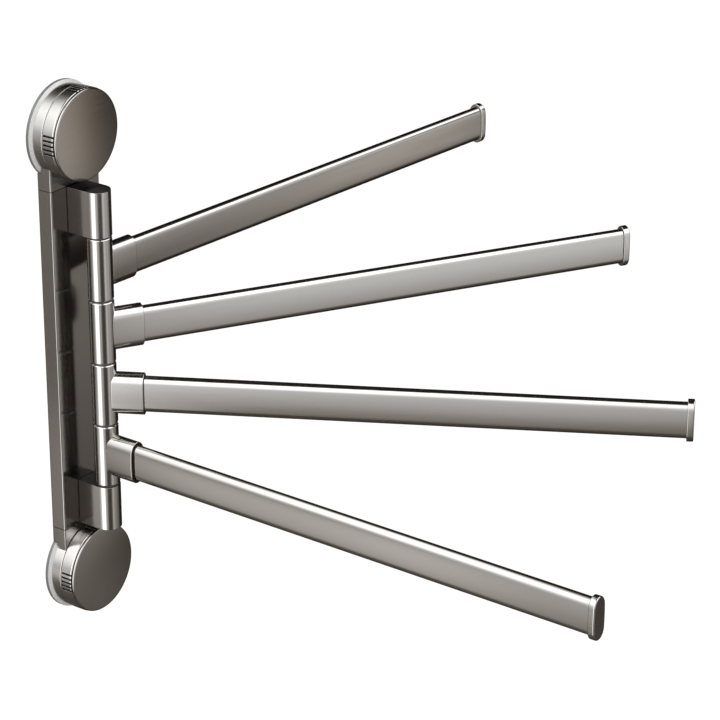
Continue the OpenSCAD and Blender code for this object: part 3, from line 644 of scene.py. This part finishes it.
def make_bracket(end, finish, top_shade_finish):
    """A block with a round nose round the pivot and a flat foot on the plate."""
    name = "upper_bracket" if end > 0 else "lower_bracket"
    foot = PIVOT_OUT - PLATE_FRONT
    joint_line, joint_depth = 0.4, 0.5
    outer_end = STACK_END + BRACKET_HEIGHT
    # the full block stops short of the plate, and a slightly smaller one fills the joint line
    blocks = []
    for inset, reach in ((0, foot - joint_line), (joint_depth, foot)):
        shape = bmesh.new()
        bmesh.ops.create_circle(shape, cap_ends=True, segments=128, radius=BRACKET_RADIUS - inset)
        bmesh.ops.bisect_plane(shape, geom=shape.verts[:] + shape.edges[:] + shape.faces[:],
                               plane_co=(0, 0, 0), plane_no=(0, 1, 0), clear_outer=True)
        back = max(shape.edges, key=lambda edge: edge.calc_length())
        grown = bmesh.ops.extrude_edge_only(shape, edges=[back])["geom"]
        bmesh.ops.translate(shape, vec=(0, reach, 0),
                            verts=[g for g in grown if isinstance(g, bmesh.types.BMVert)])
        bmesh.ops.dissolve_faces(shape, faces=shape.faces)
        bmesh.ops.translate(shape, vec=(0, 0, STACK_END + inset), verts=shape.verts)
        raise_face(shape, shape.faces[:][0], (0, 0, BRACKET_HEIGHT - 2 * inset))
        bmesh.ops.recalc_face_normals(shape, faces=shape.faces)
        soften(shape, 0.6, 2, over=60, where=at_height(STACK_END + inset, outer_end - inset))
        blocks.append(shape)
    if end < 0:
        # the counterbore that takes the rod's screw, from below
        bore_radius, bore_depth, clear_of_bore = 4.4, 3.6, 8
        bore_floor, past_end = outer_end - bore_depth, outer_end + 2
        bore = turn([(0, bore_floor), (bore_radius, bore_floor), (bore_radius, past_end),
                     (0, past_end)], steps=64)
        blocks[0] = combine(blocks[0], bore, "DIFFERENCE")
        # the smaller block is cut back to the foot, so that it leaves the bore open
        for vert in blocks[1].verts:
            vert.co.y = max(vert.co.y, clear_of_bore)
        bmesh.ops.remove_doubles(blocks[1], verts=blocks[1].verts, dist=0.01)
    # the top face gets the dark dull plating: painted shade
    shaded_top = STACK_END + (BRACKET_HEIGHT if end > 0 else 0)
    bracket = join(*blocks)
    paint(bracket, 1, lambda spot: abs(spot.z - shaded_top) < 0.05)
    matrix = (Matrix.Translation((0, -PIVOT_OUT * MM, 0)) @ Matrix.Scale(MM, 4)
              @ Matrix.Diagonal((1, 1, end, 1)))
    place(name + "_block", bracket, matrix, "wall_frame", [name], "wall_metal", finish, top_shade_finish)


def make_washers(finish):
    """The thin rings between the hubs and the brackets."""
    bore_radius, radius, thick = 3.15, 6.8, 0.8
    rings = []
    for level in range(len(ARM_ANGLES) + 1):
        low = level * HUB_PITCH - STACK_END
        ring = turn([(bore_radius, low), (radius, low), (radius, low + thick),
                     (bore_radius, low + thick)], closed=True, steps=96)
        soften(ring, 0.12, 2)
        rings.append(ring)
    matrix = Matrix.Translation((0, -PIVOT_OUT * MM, 0)) @ Matrix.Scale(MM, 4)
    place("washer_stack", join(*rings), matrix, "wall_frame", ["friction_washers"],
          "washer_plastic", finish)


def groove_cutters():
    """Four patches of five upright ovals, each of which cuts 1.2 mm into the ring's edge."""
    patches, grooves, pitch = 4, 5, 5.6
    length, width, floor_radius, past_front = 3.6, 1.2, 25.5, 20
    cutters = []
    for patch in range(1, patches + 1):
        for groove in range(1, grooves + 1):
            angle = math.radians(patch * 360 / patches + (groove - (grooves + 1) / 2) * pitch)
            cutter = oval_block(length, width, GROOVE_BACK, past_front, crown=FLAT)
            spot = (floor_radius + length / 2, 0, 0)
            bmesh.ops.transform(cutter, verts=cutter.verts, matrix=Matrix.Rotation(angle, 4, "Z")
                                @ Matrix.Translation(spot)
                                @ Matrix.Rotation(math.pi / 2, 4, "Z"))
            cutters.append(cutter)
    return join(*cutters)


def make_ring(end, name, finish, shade_finish):
    """The knob's turning ring with its grip grooves."""
    chamfer, corner = 0.3, 1
    web_at_stud, web_at_edge = 10.05, 11.9
    neck_radius, neck_end = 24.7, 19.65
    ring = turn([(STUD_ROOM_RADIUS, web_at_stud), (HOUSING_INSIDE_RADIUS, web_at_edge),
                 (HOUSING_INSIDE_RADIUS, RING_BACK), (RING_RADIUS - chamfer, RING_BACK),
                 (RING_RADIUS, RING_BACK + chamfer)]
                + round_corner(RING_RADIUS - corner, RING_FRONT - corner, corner)
                + [(neck_radius, RING_FRONT), (neck_radius, neck_end),
                   (STUD_ROOM_RADIUS, neck_end)], closed=True, steps=192)
    soften(ring, 0.12, 2, over=30)
    ring = combine(ring, groove_cutters(), "DIFFERENCE")
    # the ribs' outer edges are rounded, and catch the light as fine bright lines
    soften(ring, 0.5, 4, over=50, where=lambda edge: all(
        math.hypot(*vert.co.xy) > RING_RADIUS - 0.08
        and GROOVE_BACK - 0.1 < vert.co.z < RING_FRONT - 0.3 for vert in edge.verts))
    # the grooves and the gap behind the disc get the dark dull plating: painted shade
    paint(ring, 1, lambda spot: GROOVE_BACK - 0.2 < spot.z < RING_FRONT - corner - 0.1
          and HOUSING_INSIDE_RADIUS - 0.2 < math.hypot(*spot.xy) < RING_RADIUS - 0.35)
    paint(ring, 1, lambda spot: spot.z > RING_FRONT - 0.02)
    place(name + "_knob_grip", ring, on_wall(end * KNOB_HEIGHT), name + "_knob",
          [name + "_knob_ring"], "plated_plastic", finish, shade_finish, sharp=24)


def make_disc(end, name, finish):
    """The faintly domed disc in front of the ring, with a rolled rim."""
    inside_radius, inside, roll, dome, dome_rings = 24.9, 19.7, 0.75, 0.5, 15
    flat_radius, roll_start = DISC_RADIUS - roll, DISC_FRONT - dome - roll
    inwards = [n / dome_rings for n in range(1, dome_rings + 1)]
    disc = turn([(0, inside), (inside_radius, inside), (inside_radius, DISC_BACK),
                 (DISC_RADIUS, DISC_BACK)] + round_corner(flat_radius, roll_start, roll)
                + [(flat_radius * (1 - share), DISC_FRONT - dome * (1 - share) ** 2)
                   for share in inwards], steps=192)
    place(name + "_knob_disc", disc, on_wall(end * KNOB_HEIGHT), name + "_knob",
          [name + "_knob_cover"], "cover_metal", finish)


def make_cup(end, name, finish, edge_shade_finish):
    """The soft disc behind the housing: a clear lip whose edge is painted darker as shade, and the
    middle that the stud draws off the wall and lets back."""
    seal_radius, edge_thick, lip_off_wall = 22.5, 2, 1.86
    plug_radius, plug_front, plug_off_wall, apart = 8, 6.4, 2.1, 0.05
    lip = turn([(plug_radius + apart, lip_off_wall), (seal_radius, 0), (CUP_RADIUS, 0),
                (CUP_RADIUS, edge_thick), (HOUSING_RADIUS, HOUSING_BACK),
                (plug_radius + apart, HOUSING_BACK)], closed=True, steps=192)
    soften(lip, 0.25, 3, over=30, where=lambda edge: math.hypot(*edge.verts[0].co.xy) > 20)
    # the edge gets the darker grey: painted shade
    paint(lip, 1, lambda spot: math.hypot(*spot.xy) > CUP_RADIUS - 0.1)
    place(name + "_clear_cup", lip, on_wall(end * KNOB_HEIGHT), "wall_frame",
          [name + "_suction_cup"], "soft_cup", finish, edge_shade_finish)
    middle = turn([(0, plug_off_wall), (6.2, plug_off_wall), (plug_radius, lip_off_wall + 0.01),
                   (plug_radius, plug_front), (0, plug_front)], steps=192)
    place(name + "_cup_middle", middle, on_wall(end * KNOB_HEIGHT), name + "_stud",
          [name + "_suction_cup"], "soft_cup", finish)


def make_seat(end, name, finish, neck_finish, shade_finish):
    """The round housing with the neck that carries the plate's outline on to it."""
    corner = 0.5
    housing = turn([(HOUSING_INSIDE_RADIUS, HOUSING_BACK), (HOUSING_RADIUS, HOUSING_BACK)]
                   + round_corner(HOUSING_RADIUS - corner, HOUSING_FRONT - corner, corner)
                   + [(STUD_ROOM_RADIUS, HOUSING_FRONT), (STUD_ROOM_RADIUS, HOUSING_WEB),
                      (HOUSING_INSIDE_RADIUS, HOUSING_WEB)], closed=True, steps=192)
    soften(housing, 0.1, 2, over=30, where=lambda edge: min(
        math.hypot(*vert.co.xy) for vert in edge.verts) > 25)
    # the neck, drawn flat on the wall's side: x across and y up, from the plate's end, and a
    # slightly smaller block that fills the joint line
    joint_line, joint_depth, off_wall = 0.4, 0.5, 0.2
    necks = []
    for inset, start in ((0, joint_line), (joint_depth, -0.1)):
        neck = bmesh.new()
        bmesh.ops.create_cube(neck, size=1)
        low = PLATE_END + start - KNOB_HEIGHT
        bmesh.ops.scale(neck, verts=neck.verts,
                        vec=(PLATE_WIDTH - 2 * inset, -low, PLATE_FRONT - off_wall - 2 * inset))
        bmesh.ops.translate(neck, verts=neck.verts,
                            vec=(0, low / 2, (PLATE_FRONT + off_wall) / 2))
        soften(neck, 0.8, 4, where=lambda edge: abs(edge.verts[0].co.y - edge.verts[1].co.y) > 5)
        necks.append(neck)
    room_radius, behind = 28.6, -2
    cup_room = turn([(0, behind), (room_radius, behind), (room_radius, HOUSING_BACK),
                     (HOUSING_INSIDE_RADIUS, HOUSING_BACK), (HOUSING_INSIDE_RADIUS, HOUSING_WEB),
                     (0, HOUSING_WEB)], steps=192)
    neck = combine(combine(*necks, "UNION"), cup_room, "DIFFERENCE")
    seat = combine(housing, neck, "UNION")
    # the neck's sides and front have the plate's finish
    paint(seat, 1, lambda spot: spot.y < -12 and math.hypot(*spot.xy) > HOUSING_RADIUS + 0.2
          or spot.y < -15 and HOUSING_WEB + 0.1 < spot.z and math.hypot(*spot.xy) > 25)
    # the joint line where the neck meets the plate: a real shallow step, painted with the dark dull
    # plating as shade
    paint(seat, 2, lambda spot: spot.y < PLATE_END + 0.45 - KNOB_HEIGHT)
    place(name + "_seat_shell", seat,
          on_wall(end * KNOB_HEIGHT) @ Matrix.Diagonal((1, end, 1, 1)), "wall_frame",
          [name + "_seat"], "plated_plastic", finish, neck_finish, shade_finish)


stand_camera()
lay_floor()
light_world()
hang_lamp()
hang_tent()
# A long scrim low down beside the lowest bar fills in its side, and a far warm one puts a
# tan tone on the highest
hang_scrim("lowest_bar_fill", spot=(-0.25, 0.03, -0.22), aim=(0, 0.03, -0.22),
           width=0.5, tall=0.17, shown=124, soft=0.35)
hang_scrim("highest_bar_fill", spot=(1.517, -1.437, -0.528), aim=(0.2, -0.05, 0.057),
           width=0.36, tall=0.7, shown=70, soft=0.4, tint=(1.0, 0.72, 0.45, 1))

WARM_GREY = "#b2aea9"
PLATE_GREY = "#9c9893"
# Extruded aluminium, etched satin and anodised: long soft reflections, with a faint warm cast,
# and a fine even mottle. The plate's is a shade darker
plate_satin = metal("satin_anodised_plate", PLATE_GREY, roughness=0.16, microns=0.6, spread=0.02,
                    grain=lambda tree: drawn_grain(tree, 90, BRUSH_LINES, 25))
satin = metal("satin_anodised_aluminium", WARM_GREY, roughness=0.15, microns=0.6, spread=0.02,
              grain=lambda tree: drawn_grain(tree, 90, BRUSH_LINES, 25))
# Drawn flat tube, satin anodised: fine lines along each bar, which keep its bands of light soft
tubes = {arm: metal("satin_anodised_tube_%d" % arm, WARM_GREY, roughness=0.13, microns=0.3,
                    spread=0.02, grain=lambda tree: drawn_grain(tree, ARM_ANGLES[arm] - 90,
                                                                FINE_LINES, 30))
         for arm in ARM_ANGLES}
# Turned aluminium, satin anodised: fine rings round the pivot, with narrow upright stripes of
# light between soft dark ones
hub_satin = metal("turned_anodised_aluminium", WARM_GREY, roughness=0.13, microns=0.8, spread=0.02,
                  grain=lambda tree: turned_grain(tree, (0, -PIVOT_OUT * MM, 0), "Z", FINE_LINES))
# Nickel plated ABS, brushed round before plating: the same grey with clearer rings, which blur
# the light round the rim
knob_finish = {}
for end, name in ((1, "upper"), (-1, "lower")):
    knob_finish[name] = metal(
        "brushed_plated_abs_" + name, WARM_GREY, roughness=0.22, microns=2, spread=0.05,
        grain=lambda tree: turned_grain(tree, (0, 0, end * KNOB_HEIGHT * MM), "Y", BRUSH_LINES))
# The same plating painted dark and dull as shade: grooves, gaps, sockets and the bracket tops get
# it
painted_shade = metal("painted_shade_plating", "#2e2b28", roughness=0.42, microns=3, spread=0.06,
               grain=lambda tree: drawn_grain(tree, 0, 0.0012, 1))
# Stamped steel, brushed level and plated: a calm even grey that darkens gently across the disc
disc_steel = metal("brushed_steel_disc", "#b0aba5", roughness=0.16, microns=0.4, spread=0.02,
                   grain=lambda tree: drawn_grain(tree, 0, FINE_LINES, 25))
# Cold headed steel with a bright zinc plating, as bought screws have it: pale, a little cloudy
zinc = metal("zinc_plated_steel", "#c3c4c2", roughness=0.3, microns=2,
             grain=lambda tree: drawn_grain(tree, 0, 0.002, 1))
# Turned brass, left bare: yellow, with soft highlights across the tool's lines
brass = metal("turned_brass", "#c9a257", roughness=0.25, microns=2,
              grain=lambda tree: drawn_grain(tree, 0, 0.001, 0.2))
# Moulded acetal, natural white, for the bushes: a dull waxy plastic. The thin washers are given
# a dark grey, which shows as thin dull rings between the bright hubs
acetal = plastic("moulded_acetal", "#c9c8c3", roughness=0.4)
dark_acetal = plastic("dark_moulded_acetal", "#4a4845", roughness=0.42)
# Moulded TPU, clear grey: light goes into it and comes out softened. Its edge is painted a darker
# grey, as painted shade for where the eye looks along the disc through more of it
soft_cup = plastic("clear_tpu", "#ebebe8", roughness=0.3, Transmission_Weight=0.15)
cup_edge_shade = plastic("clear_tpu_painted_dark_edge", "#8b8b8c", roughness=0.25, Transmission_Weight=0.1)

for arm in ARM_ANGLES:
    make_hub(arm, hub_satin, painted_shade)
    make_bar(arm, tubes[arm])
make_washers(dark_acetal)
for end, name in ((1, "upper"), (-1, "lower")):
    make_bracket(end, satin, painted_shade)
    make_seat(end, name, knob_finish[name], plate_satin, painted_shade)
    make_ring(end, name, knob_finish[name], painted_shade)
    make_disc(end, name, disc_steel)
    make_cup(end, name, soft_cup, cup_edge_shade)
    give(brass, name + "_knob_nut")
    give(zinc, name + "_cup_stud")
give(plate_satin, "back_plate")
give(zinc, "bracket_screws", "pivot_rod", "rod_screw", "rod_washer", "seat_screws")
give(acetal, *["hub_bush_%d" % arm for arm in ARM_ANGLES])

bpy.context.scene.view_settings.view_transform = "Standard"
bpy.context.view_layer.update()
